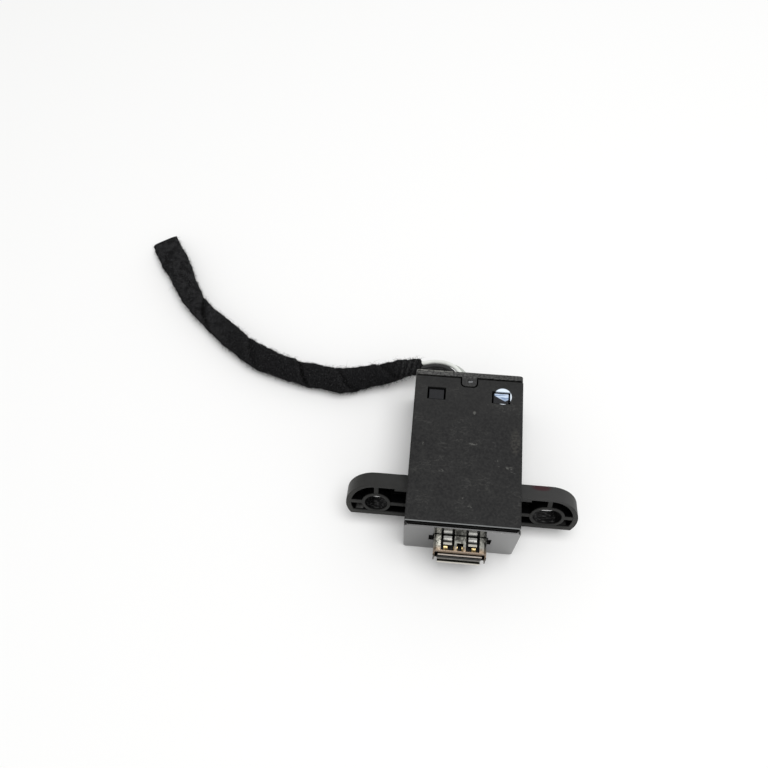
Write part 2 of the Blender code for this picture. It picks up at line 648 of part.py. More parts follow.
def usb_insulator():
    """The moulded insulator: a block that closes the shell's rear, with the contact tongue in front of it."""
    half_x = SHELL_WIDTH / 2 - SHELL_SHEET - FINE_FIT
    half_z = SHELL_HEIGHT / 2 - SHELL_SHEET - FINE_FIT
    block_front = MOUTH_Y + FINGER_ROOT + 0.9 * MM
    length = SHELL_REAR_Y - block_front
    body = flat("usb_insulator", [rounded(half_x, half_z, SHELL_CORNER / 2, 3)], length,
                upright(block_front + length / 2, z=SHELL_Z), tool=False)
    front = MOUTH_Y + TONGUE_SETBACK
    join(body, block("tongue", (-TONGUE_WIDTH / 2, front, TONGUE_UNDER),
                     (TONGUE_WIDTH / 2, block_front + MM, TONGUE_TOP)))
    half = CONTACT_WIDTH / 2 + FINE_FIT
    low = CONTACT_Z - CONTACT_SHEET / 2 - FINE_FIT
    for x in contact_places():
        cut(body, block("contact_groove", (x - half, front + 0.6 * MM, low),
                        (x + half, block_front + MM / 2, TONGUE_TOP + MM / 2)))
        cut(body, block("contact_bore", (x - half, block_front - MM / 2, low),
                        (x + half, SHELL_REAR_Y + MM, low + CONTACT_SHEET + 2 * FINE_FIT)))
    return finish(body, (0.03, 0.03, 0.032), 0.4)


def contact(number, x):
    """One contact: a bow in the tongue's groove, a run through the insulator and a tail in the board."""
    front = MOUTH_Y + TONGUE_SETBACK + 0.9 * MM
    bow_end = front + 3.6 * MM
    half = CONTACT_SHEET / 2
    middle = []
    for index in range(9):
        share = index / 8
        bow = CONTACT_BOW * math.sin(math.pi * share) ** 1.5
        middle.append((front + (bow_end - front) * share, CONTACT_Z + bow))
    bend = 0.5 * MM
    middle.append((TAIL_Y - bend, CONTACT_Z))
    middle += arc((TAIL_Y - bend, CONTACT_Z + bend), bend, -60, 0, 2)
    middle.append((TAIL_Y, TAIL_TOP))
    upper = []
    lower = []
    for index, (y, z) in enumerate(middle):
        before = Vector(middle[max(index - 1, 0)])
        after = Vector(middle[min(index + 1, len(middle) - 1)])
        along = (after - before).normalized()
        upper.append((y - along.y * half, z + along.x * half))
        lower.append((y + along.y * half, z - along.x * half))
    strip = flat("contact_%d" % number, [upper + lower[::-1]], CONTACT_WIDTH, across_x(x), tool=False)
    return finish(strip, (0.83, 0.62, 0.24), 0.25, 1.0)


def circuit_board():
    """The board, with slots for the shell's legs and holes for the contacts' tails and the header's pins."""
    board = block("circuit_board", (-BOARD_HALF, BOARD_Y, BOARD_UNDER), (BOARD_HALF, BOARD_REAR_Y, BOARD_TOP),
                  tool=False)
    low = BOARD_UNDER - MM
    high = BOARD_TOP + MM
    for side in (-1, 1):
        x = side * (SHELL_WIDTH / 2 - SHELL_SHEET / 2)
        half = SHELL_SHEET / 2 + FIT
        for y in leg_places():
            cut(board, block("leg_slot", (x - half, y - LEG_LENGTH / 2 - FIT, low),
                             (x + half, y + LEG_LENGTH / 2 + FIT, high)))
    middle = (low + high) / 2
    for x in contact_places():
        cut(board, drum("tail_hole", math.hypot(CONTACT_WIDTH, CONTACT_SHEET) / 2 + FINE_FIT, high - low,
                        (x, TAIL_Y, middle), sides=12))
    for x in pin_places():
        cut(board, drum("pin_hole", PIN_SIZE * 0.71 + FIT, high - low, (x, pin_y(), middle), sides=12))
    return finish(board, (0.02, 0.11, 0.05), 0.4)


def pin_places():
    return tuple(PIN_PITCH * (index - 1.5) for index in range(4))


def pin_y():
    return HEADER_Y + HEADER_WALL + PIN_SIZE / 2 + FIT


def board_header():
    """The header under the board's rear end: a box open to the rear, with holes for its pins."""
    half = HEADER_WIDTH / 2
    header = block("board_header", (-half, HEADER_Y, HEADER_TOP - HEADER_HEIGHT),
                   (half, HEADER_REAR_Y, HEADER_TOP), tool=False)
    wall = HEADER_WALL
    cut(header, block("header_hollow", (-half + wall, HEADER_Y + wall, HEADER_TOP - HEADER_HEIGHT + wall),
                      (half - wall, HEADER_REAR_Y + MM, HEADER_TOP - wall)))
    side = PIN_SIZE / 2 + FINE_FIT
    for x in pin_places():
        cut(header, block("pin_slot", (x - side, pin_y() - side, HEADER_TOP - wall - MM / 2),
                          (x + side, pin_y() + side, HEADER_TOP + MM / 2)))
    return finish(header, (0.75, 0.73, 0.66), 0.5)


def header_pin(number, x):
    """A bent pin: up through the header and the board, and back towards the plug."""
    half = PIN_SIZE / 2
    y = pin_y()
    reach = PLUG_Y + PIN_REACH
    outline = [(y - half, TAIL_TOP), (y - half, HEADER_Z - half), (reach, HEADER_Z - half),
               (reach, HEADER_Z + half), (y + half, HEADER_Z + half), (y + half, TAIL_TOP)]
    pin = flat("header_pin_%d" % number, [outline], PIN_SIZE, across_x(x), tool=False)
    return finish(pin, (0.75, 0.74, 0.70), 0.3, 1.0)


def wire_plug():
    """The plug on the wires: a block in the header with a cavity for each pin and for each wire."""
    half = HEADER_WIDTH / 2 - HEADER_WALL - FIT
    half_z = HEADER_HEIGHT / 2 - HEADER_WALL - FIT
    plug = block("wire_plug", (-half, PLUG_Y, HEADER_Z - half_z), (half, PLUG_REAR_Y, HEADER_Z + half_z),
                 tool=False)
    soften(plug, 0.2 * MM)
    bore = PIN_SIZE / 2 + FINE_FIT
    for x in pin_places():
        cut(plug, block("pin_cavity", (x - bore, PLUG_Y - MM, HEADER_Z - bore),
                        (x + bore, PLUG_Y + PIN_REACH + FIT, HEADER_Z + bore)))
        place = (x, PLUG_REAR_Y, HEADER_Z)
        cut(plug, drum("wire_cavity", WIRE_DIAMETER / 2 + FINE_FIT, 4 * MM, place, "Y", 12))
    return finish(plug, (0.70, 0.68, 0.62), 0.5)


def chip(name, middle, size, caps, color):
    """A small part soldered on top of the board: a body with a wider end cap at both sides."""
    x, y = middle
    length, width, height = size
    low = BOARD_TOP + FINE_FIT
    half = width / 2 * CHIP_WAIST
    body = block(name, (x - length / 2, y - half, low), (x + length / 2, y + half, low + height), tool=False)
    for side in (-1, 1):
        xs = sorted((x + side * (length / 2 + CHIP_LAP), x + side * (length / 2 - caps)))
        join(body, block(name + "_cap", (xs[0], y - width / 2, low - CHIP_LAP / 2),
                         (xs[1], y + width / 2, low + height + CHIP_LAP / 2)))
    return finish(body, color, 0.45)


def through(points, per_span=6):
    """A smooth curve through points, each span a cubic whose tangents come from the neighbours."""
    places = [Vector(point) for point in points]
    ends = [2 * places[0] - places[1]] + places + [2 * places[-1] - places[-2]]
    result = []
    for index in range(1, len(ends) - 2):
        before, here, there, after = ends[index - 1:index + 3]
        for step in range(per_span):
            t = step / per_span
            curving = (2 * before - 5 * here + 4 * there - after) * t ** 2
            turning = (3 * here - before - 3 * there + after) * t ** 3
            result.append(0.5 * (2 * here + (there - before) * t + curving + turning))
    result.append(places[-1])
    return result


def spaced(points, gap):
    """Points at even distances along a curve, near the gap asked for."""
    lengths = [0.0]
    for near, far in zip(points, points[1:]):
        lengths.append(lengths[-1] + (far - near).length)
    count = max(2, round(lengths[-1] / gap))
    result = []
    index = 0
    for step in range(count + 1):
        goal = lengths[-1] * step / count
        while index < len(lengths) - 2 and lengths[index + 1] < goal:
            index += 1
        share = (goal - lengths[index]) / (lengths[index + 1] - lengths[index])
        result.append(points[index].lerp(points[index + 1], min(1.0, share)))
    return result


def behind_cap(route):
    """A route's points, given behind the rear cap in mm, in the model's frame."""
    return [Vector((x * MM, REAR_Y + y * MM, z * MM)) for x, y, z in route]


def tube(name, points, radius, resolution, scales=None):
    """A round tube with closed ends along the points."""
    curve = bpy.data.curves.new(name, "CURVE")
    curve.dimensions = "3D"
    curve.bevel_depth = radius
    curve.bevel_resolution = resolution
    curve.use_fill_caps = True
    spline = curve.splines.new("POLY")
    spline.points.add(len(points) - 1)
    for index, place in enumerate(points):
        spline.points[index].co = (*place, 1.0)
        spline.points[index].radius = scales[index] if scales else 1.0
    obj = bpy.data.objects.new(name, curve)
    PARTS.objects.link(obj)
    return obj


def bundle_offset(number, share):
    """A wire's place across the bundle: in a flat row at the outlet, rolled up into a square at the loom."""
    pair = -1 if number < 2 else 1
    first = -1 if number % 2 == 0 else 1
    turn = share * math.pi / 2
    middle = pair * WIRE_SPACING * (1.0 - 0.5 * share ** 2)
    across = middle + first * WIRE_SPACING / 2 * math.cos(turn)
    upper = 1 if (pair * first) < 0 else -1
    return across, upper * WIRE_SPACING / 2 * math.sin(turn)


def wire(number, color):
    """One wire from the plug through the outlet to the loom's end."""
    route = [Vector((0, PLUG_REAR_Y - 1.2 * MM, HEADER_Z)), Vector((0, PLUG_REAR_Y + MM, HEADER_Z))]
    route += behind_cap(BUNDLE_ROUTE)
    line = spaced(through(route), 2.4 * WIRE_DIAMETER)
    inside = sum(1 for place in line if place.y < REAR_Y)
    points = []
    for index, place in enumerate(line):
        before = line[max(index - 1, 0)]
        after = line[min(index + 1, len(line) - 1)]
        along = (after - before).normalized()
        right = along.cross(Vector((0, 0, 1))).normalized()
        rise = right.cross(along)
        share = max(0.0, (index - inside) / (len(line) - 1 - inside))
        across, height = bundle_offset(number, min(1.0, share * 1.6))
        if index < inside:
            spread = pin_places()[number]
            across += (spread - across) * (1 - index / inside)
        points.append(place + right * across + rise * height)
    # The wires stop short of the loom's solid, in which they run on
    points[-1] -= (points[-1] - points[-2]).normalized() * FIT
    obj = tube("wire_%d" % (number + 1), points, WIRE_DIAMETER / 2, 2)
    return finish(obj, color, 0.4)


def taped_loom():
    """The loom: the wires wrapped in fleece tape, slimmer where the tape starts, cut square at its end."""
    line = spaced(through(behind_cap(LOOM_ROUTE)), LOOM_DIAMETER * 0.6)
    scales = []
    travelled = 0.0
    for index, place in enumerate(line):
        if index:
            travelled += (place - line[index - 1]).length
        scales.append(LOOM_SLIM + (1 - LOOM_SLIM) * min(1.0, travelled / LOOM_GROWTH))
    obj = tube("taped_loom", line, LOOM_DIAMETER / 2, 4, scales)
    return finish(obj, (0.012, 0.012, 0.012), 0.95)


def build():
    lower_housing()
    top_cover()
    rear_cap()
    usb_shell()
    usb_insulator()
    for number, x in enumerate(contact_places()):
        contact(number + 1, x)
    circuit_board()
    board_header()
    for number, x in enumerate(pin_places()):
        header_pin(number + 1, x)
    wire_plug()
    rows = [TAIL_Y + (pin_y() - TAIL_Y) * share for share in CHIP_ROWS]
    chip("line_choke", (0, rows[0]), (3.2 * MM, 2.5 * MM, 1.3 * MM), 0.5 * MM, (0.06, 0.06, 0.065))
    chip("surge_array", (0, rows[2]), (2.9 * MM, 1.6 * MM, 1.0 * MM), 0.3 * MM, (0.03, 0.03, 0.03))
    size = (3.2 * MM, 1.6 * MM, 1.2 * MM)
    for number, side in enumerate((-1, 1)):
        place = (side * CAPACITOR_X, rows[1])
        chip("capacitor_%d" % (number + 1), place, size, 0.5 * MM, (0.45, 0.33, 0.22))
    colors = ((0.05, 0.05, 0.05), (0.03, 0.03, 0.03), (0.75, 0.75, 0.73), (0.45, 0.46, 0.45))
    for number, color in enumerate(colors):
        wire(number, color)
    taped_loom()


build()
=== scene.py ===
"""A panel-mount USB socket module with a short taped wire loom, dressed for a studio photograph."""

import bmesh
import bpy
import numpy as np
from mathutils import Matrix, Vector


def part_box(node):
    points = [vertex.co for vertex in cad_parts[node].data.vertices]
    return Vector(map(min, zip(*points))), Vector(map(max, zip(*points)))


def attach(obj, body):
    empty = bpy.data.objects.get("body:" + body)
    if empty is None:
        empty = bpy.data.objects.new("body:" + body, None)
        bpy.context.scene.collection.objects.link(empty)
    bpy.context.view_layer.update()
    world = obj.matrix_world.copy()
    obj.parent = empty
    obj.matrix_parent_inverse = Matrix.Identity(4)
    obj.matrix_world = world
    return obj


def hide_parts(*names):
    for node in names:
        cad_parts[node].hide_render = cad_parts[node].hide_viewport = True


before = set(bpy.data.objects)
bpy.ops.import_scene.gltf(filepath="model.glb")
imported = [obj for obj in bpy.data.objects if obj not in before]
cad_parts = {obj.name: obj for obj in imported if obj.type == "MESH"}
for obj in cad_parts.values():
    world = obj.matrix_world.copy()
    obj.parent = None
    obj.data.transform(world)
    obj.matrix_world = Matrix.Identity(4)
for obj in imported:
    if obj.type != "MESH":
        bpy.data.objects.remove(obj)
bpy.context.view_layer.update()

# Camera
# It looks down on the lid from ahead of the socket, about 64 degrees below level, a little left of the
# middle. Its place and lens were worked out from the corners of the housing.
MM = 0.001
camera_x, camera_y, camera_z = -10.7, -72.8, 205.7
camera_data = bpy.data.cameras.new("camera")
camera_data.sensor_width = 36.0
camera_data.lens = 36.8
camera_data.clip_start = 0.005
camera = bpy.data.objects.new("camera", camera_data)
bpy.context.scene.collection.objects.link(camera)
ahead = Vector((-0.0567, 0.4408, -0.8958)).normalized()
right = Vector((0.9956, 0.0916, -0.0179))
right = (right - ahead * right.dot(ahead)).normalized()
turn = Matrix((right, right.cross(ahead), -ahead)).transposed().to_4x4()
camera.matrix_world = Matrix.Translation((camera_x * MM, camera_y * MM, camera_z * MM)) @ turn
bpy.context.scene.camera = camera
bpy.context.scene.view_settings.view_transform = "Standard"


# Studio
# A plain pale table, even light from all round, and one wide lamp overhead, a little to the right, so that
# the soft shadows lie on the left and under the loom.
class Tone:
    """A value that varies over a surface. Sums, products and powers of tones add their own Math nodes."""

    def __init__(self, finish, socket):
        self.finish = finish
        self.socket = socket

    def math(self, operation, *others):
        return self.finish.node("ShaderNodeMath", {"operation": operation}, (self, *others))

    def __add__(self, other):
        return self.math("ADD", other)

    def __sub__(self, other):
        return self.math("SUBTRACT", other)

    def __rsub__(self, other):
        return self.finish.node("ShaderNodeMath", {"operation": "SUBTRACT"}, (other, self))

    def __mul__(self, other):
        return self.math("MULTIPLY", other)

    def __truediv__(self, other):
        return self.math("DIVIDE", other)

    def __pow__(self, other):
        return self.math("POWER", other)

    __radd__ = __add__
    __rmul__ = __mul__

    def size(self):
        """The value without its sign."""
        return self.math("ABSOLUTE")

    def capped(self):
        """The value, but 1 where it is more."""
        return self.math("MINIMUM", 1.0)

    def rise(self, low, high):
        """Eases from 0 at low to 1 at high, or from 1 to 0 where low is the larger."""
        if low > high:
            return 1.0 - self.rise(high, low)
        return self.finish.node("ShaderNodeMapRange", {"interpolation_type": "SMOOTHSTEP"}, (self, low, high))

    def between(self, low, high, soft):
        """1 between two values, easing to 0 over a soft edge on each side."""
        return self.rise(low - soft, low + soft) * self.rise(high + soft, high - soft)


class Finish:
    """A material. What is the same all over it stands on its shader, and node() adds what varies."""

    def __init__(self, name, color, roughness, **steady):
        self.material = bpy.data.materials.new(name)
        self.material.use_nodes = True
        self.nodes = self.material.node_tree.nodes
        self.links = self.material.node_tree.links
        self.shader = self.nodes["Principled BSDF"]
        steady.update({"Base Color": (*color, 1.0), "Roughness": roughness})
        for socket, value in steady.items():
            self.shader.inputs[socket.replace("_", " ")].default_value = value
        self.kept = {}

    def node(self, kind, settings, sockets, output=0):
        """Adds a node: its settings first, then its sockets' values or links."""
        made = self.nodes.new(kind)
        for setting, value in settings.items():
            setattr(made, setting, value)
        given = sockets.items() if isinstance(sockets, dict) else enumerate(sockets)
        for place, value in given:
            if isinstance(value, Tone):
                self.links.new(value.socket, made.inputs[place])
            elif value is not None:
                made.inputs[place].default_value = value
        return Tone(self, made.outputs[output])

    def feed(self, socket, tone):
        self.links.new(tone.socket, self.shader.inputs[socket])

    def place(self):
        """The point on the piece, in mm."""
        if "place" not in self.kept:
            spot = self.node("ShaderNodeTexCoord", {}, (), "Object")
            self.kept["place"] = self.node("ShaderNodeVectorMath", {"operation": "SCALE"},
                                           {0: spot, "Scale": 1000.0})
        return self.kept["place"]

    def axes(self):
        """The three coordinates of the point, in mm."""
        if "axes" not in self.kept:
            first = self.node("ShaderNodeSeparateXYZ", {}, (self.place(),))
            outputs = first.socket.node.outputs
            self.kept["axes"] = tuple(Tone(self, outputs[index]) for index in range(3))
        return self.kept["axes"]

    def cloud(self, grain, detail=3.0, stretch=(1.0, 1.0, 1.0)):
        """Soft noise whose grain is about so many mm, drawn out along the axes with a large stretch."""
        scaled = self.node("ShaderNodeVectorMath", {"operation": "MULTIPLY"},
                           (self.place(), tuple(1.0 / (grain * s) for s in stretch)))
        return self.node("ShaderNodeTexNoise", {}, {"Vector": scaled, "Scale": 1.0, "Detail": detail})

    def disc(self, x, y, across, along, soft):
        """1 inside an upright oval pillar about a point in X and Y, easing to 0 round its rim."""
        east, north, _ = self.axes()
        reach = ((east - x) / across) ** 2.0 + ((north - y) / along) ** 2.0
        return reach.rise(1.0 + soft, 1.0 - soft)

    def mix(self, mask, low, high):
        """One colour turning into another as the mask goes from 0 to 1."""
        low, high = (c if isinstance(c, Tone) else (*c, 1.0) for c in (low, high))
        return self.node("ShaderNodeMix", {"data_type": "RGBA"}, {0: mask, 6: low, 7: high}, 2)

    def relief(self, height, depth, edge=None):
        """Raises the surface by a height, depth mm for a height of 1, and rounds sharp edges by edge mm."""
        rounded = edge and self.node("ShaderNodeBevel", {"samples": 6}, {"Radius": edge * MM})
        self.feed("Normal", self.node("ShaderNodeBump", {}, {"Strength": 1.0, "Distance": depth * MM,
                                                             "Height": height, "Normal": rounded}))


world = bpy.data.worlds.new("studio")
bpy.context.scene.world = world
world.use_nodes = True
world.node_tree.nodes["Background"].inputs["Color"].default_value = (1.0, 1.0, 1.0, 1.0)
world.node_tree.nodes["Background"].inputs["Strength"].default_value = 0.55
lamp_data = bpy.data.lights.new("lamp", "AREA")
lamp_data.shape = "DISK"
lamp_data.size = 0.75
lamp_data.energy = 5.25
lamp = bpy.data.objects.new("lamp", lamp_data)
bpy.context.scene.collection.objects.link(lamp)
lamp.location = (0.12, -0.04, 0.9)
lamp.rotation_euler = lamp.location.to_track_quat("Z", "Y").to_euler()
table_mesh = bpy.data.meshes.new("table")
table_mesh.from_pydata([(-3, -3, 0), (3, -3, 0), (3, 3, 0), (-3, 3, 0)], [], [(0, 1, 2, 3)])
table = bpy.data.objects.new("table", table_mesh)
bpy.context.scene.collection.objects.link(table)
table.data.materials.append(Finish("paper", (0.93, 0.93, 0.925), 0.9, Specular_IOR_Level=0.0).material)


# Lower housing
# One black injection moulding: tub, front face with its thin lip, and two tilted ears with a rim, spokes
# and a ring for the screw. The face is polished; the rest has a fine satin grain.
def dressed(name, mesh, material):
    """Makes a mesh a piece of the object, in its material and on the body."""
    mesh.materials.clear()
    mesh.materials.append(material)
    piece = bpy.data.objects.new(name, mesh)
    bpy.context.scene.collection.objects.link(piece)
    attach(piece, "root")
    return piece


def made_whole(node, name, material):
    """A copy of a solid with its points merged, shaded smooth but for its sharp edges, in the solid's
    place."""
    shape = bmesh.new()
    shape.from_mesh(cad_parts[node].data)
    bmesh.ops.remove_doubles(shape, verts=shape.verts, dist=1e-6)
    shape.normal_update()
    for face in shape.faces:
        face.smooth = True
    for edge in shape.edges:
        edge.smooth = edge.calc_face_angle(0.0) < 0.6
    mesh = bpy.data.meshes.new(name)
    shape.to_mesh(mesh)
    shape.free()
    piece = dressed(name, mesh, material)
    shading = piece.modifiers.new("even_shading", "WEIGHTED_NORMAL")
    shading.keep_sharp = True
    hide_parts(node)


moulding = Finish("housing_plastic", (0.01, 0.01, 0.01), 0.4, Specular_IOR_Level=0.12, Coat_IOR=1.6,
                  Coat_Roughness=0.08)
east, north, height = moulding.axes()
grain = moulding.cloud(0.22, 4.0)
haze = moulding.cloud(4.0, 4.0)
face_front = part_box("lower_housing")[0].y / MM
polished = north.rise(face_front + 0.5, face_front + 0.3)
satin = 1.0 - polished
dust = moulding.cloud(0.3, 2.0).rise(0.72, 0.8) * satin * 0.5
stain = moulding.disc(19.7, -4.9, 2.3, 0.9, 0.7) * height.rise(13.0, 14.5)
# In the ears' own plane, which leans back by 20 degrees: out from the screw hole, up the tilt, and how deep
# behind the ear's front. The painted shade and light in the hollows end just short of the ear's back.
hole_x, hole_y, hole_z = 22.0, -10.9, 9.75
tilt_sine, tilt_cosine = 0.342, 0.94
ear_out = east.size() - hole_x
ear_up = (north - hole_y) * tilt_sine + (height - hole_z) * tilt_cosine
ear_deep = (north - hole_y) * tilt_cosine - (height - hole_z) * tilt_sine
ear_back = 4.2
# Painted shade in the pockets between rim, ring and spokes: inside an oval about a point a little off the
# hole, which ends level below and beside the tub
oval_out, oval_up, half_out, half_up = 0.35, -0.45, 6.6, 7.1
oval = ((ear_out - oval_out).math("MAXIMUM", 0.0) / half_out) ** 2.0 + ((ear_up - oval_up) / half_up) ** 2.0
pocket = oval.rise(1.03, 0.97) * ear_deep.between(0.3, ear_back, 0.15)
pocket = pocket * ear_up.rise(-4.3, -4.1) * ear_out.rise(-7.7, -7.5)
# Painted light, with dust, on the ears' shoulders and outer rims, and a reddish stain on the right shoulder
shade = moulding.mix(haze.rise(0.3, 0.75), (0.019, 0.019, 0.018), (0.027, 0.027, 0.026))
shoulder = (ear_up - 5.5 + ear_out.size() * 0.2).rise(0.0, 1.5) * (0.4 + east * 0.01)
shade = moulding.mix(shoulder * satin, shade, (0.06, 0.06, 0.06))
rim = ear_out.rise(3.0, 7.6) * grain.rise(0.35, 0.6) * satin
shade = moulding.mix(rim * 0.8, shade, (0.055, 0.055, 0.051))
shade = moulding.mix(stain * 0.75, shade, (0.05, 0.014, 0.018))
# Painted shade in the pockets; the polished face is near black too
shade = moulding.mix(pocket.math("MAXIMUM", polished * 0.8), shade, (0.001, 0.001, 0.0012))
# Painted light in the pockets' lower outer corners, and painted highlight streaks in the ring's bore
corner_light = ((ear_out - 4.4) / 1.0) ** 2.0 + ((ear_up + 3.3) / 0.55) ** 2.0
corner_light = corner_light.rise(1.3, 0.5) * ear_deep.between(0.6, ear_back, 0.15) * (0.55 - east * 0.015)
shade = moulding.mix(corner_light * haze.rise(0.3, 0.6), shade, (0.16, 0.16, 0.155))
bore = (ear_out ** 2.0 + ear_up ** 2.0).rise(12.5, 11.5) * ear_deep.between(0.7, ear_back, 0.15)
bore_glints = moulding.cloud(0.35, 3.0, (5.0, 1.0, 1.0)).rise(0.52, 0.66)
shade = moulding.mix(bore * bore_glints * 0.7, shade, (0.09, 0.09, 0.09))
moulding.feed("Base Color", moulding.mix(dust, shade, (0.1, 0.1, 0.095)))
moulding.feed("Roughness", moulding.node("ShaderNodeMix", {"data_type": "FLOAT"},
                                         (polished, None, 0.36 + haze * 0.16, 0.1 + haze * 0.1)))
moulding.feed("Coat Weight", polished * (0.71 + east * 0.006))
moulding.relief(grain * (1.0 - polished * 0.93), 0.02, 0.2)
made_whole("lower_housing", "moulded_tub", moulding.material)

# Lid
# A flat black moulding with a fine matt grain, snapped on by the cap's catches. Handling has left scuffs and
# dust, a pale painted highlight runs along its front edge, and an inspector's paint dot lies over the right
# window.
cover = Finish("cover_plastic", (0.012, 0.012, 0.012), 0.5, Specular_IOR_Level=0.2)
east, north, height = cover.axes()
lid_near, lid_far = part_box("top_cover")
lid_front, top = lid_near.y / MM, lid_far.z / MM
grain = cover.cloud(0.28, 5.0)
blotch = cover.cloud(0.55, 5.0)
haze = cover.cloud(6.0, 5.0)
wisps = cover.cloud(1.4, 6.0, (2.5, 1.0, 1.0)).between(0.49, 0.51, 0.012) * haze.rise(0.45, 0.62)
specks = cover.cloud(0.3, 1.0).rise(0.77, 0.82)
# Each scuff: its place across and along the lid, and its half width and length
SCUFFS = ((1.7, 29.9, 0.35, 0.5), (-6.0, 13.5, 0.7, 0.3), (-0.4, 6.7, 0.35, 0.28), (1.6, 4.6, 0.55, 0.25),
          (-11.0, 20.4, 0.4, 0.3), (-2.5, 22.3, 0.3, 0.28), (7.6, 17.1, 0.5, 0.28), (10.9, 15.4, 0.9, 0.4),
          (1.6, 21.2, 1.0, 0.28))
scuffs = 0.0
for scuff_x, scuff_y, across, along in SCUFFS:
    scuffs = scuffs + cover.disc(scuff_x, lid_front + scuff_y, across, along, 0.9)
scratch = (north - lid_front + east * 0.38).between(18.75, 18.9, 0.1) * east.between(8.2, 12.4, 0.4)
scuffs = ((scuffs + scratch) * blotch.rise(0.44, 0.6)).capped()
shade = cover.mix(blotch.rise(0.3, 0.7), (0.004, 0.004, 0.0045), (0.0165, 0.0165, 0.0162))
rearward = north.rise(lid_front + 20.0, lid_front + 38.0)
shade = cover.mix(haze.rise(0.35, 0.7) * 0.3 + rearward * 0.4, shade, (0.022, 0.022, 0.0215))
smudge = cover.disc(12.3, lid_front + 22.6, 1.2, 3.2, 0.9) * blotch.rise(0.3, 0.7)
shade = cover.mix(smudge * 0.3, shade, (0.09, 0.085, 0.07))
marks = (wisps * 0.2 + scuffs * 0.6 + specks * 0.5).capped()
shade = cover.mix(marks, shade, (0.135, 0.134, 0.124))
# A painted highlight along the top front edge, and painted shade on the front wall under it
edge_highlight = north.rise(lid_front + 0.27, lid_front + 0.14) * height.rise(top - 0.35, top - 0.22)
shade = cover.mix((edge_highlight * (0.75 + haze * 0.5)).capped(), shade, (0.27, 0.28, 0.28))
front_shade = north.rise(lid_front + 0.05, lid_front) * height.rise(top - 0.25, top - 0.35)
shade = cover.mix(front_shade, shade, (0.001, 0.001, 0.001))
dot_x, dot_y, dot_radius = 8.9, lid_front + 35.25, 2.3
dot = cover.disc(dot_x, dot_y, dot_radius, dot_radius, 0.08) * height.rise(top - 0.8, top - 0.5)
cover.feed("Base Color", cover.mix(dot, shade, cover.mix(haze, (0.66, 0.78, 0.92), (0.86, 0.91, 0.95))))
cover.feed("Roughness", 0.5 + haze * 0.14 - dot * 0.15)
cover.relief(grain + dot * 1.5, 0.03, 0.12)
made_whole("top_cover", "lid_plate", cover.material)

# Rear cap
# A black moulding with a tab keyed into the lid and two spring arms whose catches stand in the lid's
# windows. Its top is paler behind the lid and along its rear edge, more on the left, and the catch under the
# paint dot has taken paint too.
capping = Finish("cap_plastic", (0.014, 0.014, 0.014), 0.5, Specular_IOR_Level=0.3)
east, north, height = capping.axes()
seam, rear = lid_far.y / MM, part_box("rear_cap")[1].y / MM
grain = capping.cloud(0.3, 4.0)
blotch = capping.cloud(0.5, 5.0)
haze = capping.cloud(2.2, 4.0)
leftward = east.rise(2.0, -10.0)
shade = capping.mix(blotch.rise(0.3, 0.7), (0.008, 0.008, 0.0085), (0.032, 0.032, 0.031))
# The strip behind the lid, and its rear edge, both paler towards the left
strip = north.rise(seam - 0.1, seam + 0.1)
pale_strip = strip * height.rise(top - 0.9, top - 0.4) * (0.4 + leftward * 0.5) * blotch.rise(0.35, 0.65)
shade = capping.mix(pale_strip.capped(), shade, (0.105, 0.105, 0.1))
rear_edge = height.rise(top - 0.7, top - 0.3) * north.rise(rear - 0.4, rear - 0.22)
pale_edge = rear_edge * leftward * haze.rise(0.35, 0.5)
shade = capping.mix(pale_edge * blotch.rise(0.35, 0.6), shade, (0.22, 0.22, 0.2))
# A pale rub on the tab, and painted shade on the catches, which lie low in the windows
rub = capping.disc(0.3, seam - 1.0, 0.6, 0.3, 0.5) * height.rise(top - 0.6, top - 0.4)
shade = capping.mix(rub * 0.6, shade, (0.3, 0.31, 0.32))
catch = height.between(top - 0.6, top - 0.3, 0.05) * north.rise(seam - 3.0, seam - 3.2)
shade = capping.mix(catch, shade, capping.mix(blotch, (0.001, 0.001, 0.002), (0.008, 0.0085, 0.012)))
# The dot's paint on the catch, streaked, and kept from one corner by the window's edge
paint = capping.disc(dot_x - 0.1, dot_y + 0.5, 2.05, 1.75, 0.12) * height.rise(top - 1.5, top - 1.3)
slant = north - dot_y + (east - dot_x) * 0.53
paint = paint * (1.0 - strip) * slant.rise(-0.95, -0.7)
streaks = capping.cloud(0.4, 3.0, (6.0, 1.0, 1.0)).rise(0.42, 0.62)
streaked = capping.mix(streaks, (0.2, 0.28, 0.42), (0.6, 0.7, 0.85))
capping.feed("Base Color", capping.mix(paint, shade, streaked))
capping.feed("Roughness", 0.42 + haze * 0.16)
capping.relief(grain, 0.03, 0.2)
made_whole("rear_cap", "cap_moulding", capping.material)

# Socket shell
# Stamped from plated steel sheet: leaf springs in their windows, a peep window over the contacts, a flared
# upper lip, and legs through the board. The plating is dull and warm towards the mouth.
plated = Finish("shell_steel", (0.5, 0.48, 0.45), 0.3, Metallic=1.0)
east, north, height = plated.axes()
# The upper lip's lead on the lid, the leaf springs' middles, and the shell's underside and top
lip_lead, spring_x = 6.3, 3.1
mouth = lid_front - lip_lead
shell_low, shell_top = 8.15, 13.85
smear = plated.cloud(0.7, 5.0, (1.0, 1.6, 1.0))
fine = plated.cloud(0.22, 4.0, (1.0, 2.0, 1.0))
patchiness = smear * 0.4
# The upper wall: smeared plating, a painted reflection brighter on the left, warm and brown by the mouth
plate = plated.mix(smear.rise(0.38, 0.62), (0.04, 0.04, 0.036), (0.19, 0.19, 0.17))
plate = plated.mix(east.rise(-4.3, -5.2) * fine.rise(0.4, 0.6), plate, (0.42, 0.41, 0.36))
plate = plated.mix(fine.rise(0.62, 0.72) * 0.6, plate, (0.6, 0.59, 0.53))
warm = plated.mix(fine, (0.1, 0.07, 0.04), (0.3, 0.22, 0.16))
plate = plated.mix((north.rise(mouth + 2.6, mouth + 1.1) * (0.6 + smear * 0.6)).capped(), plate, warm)
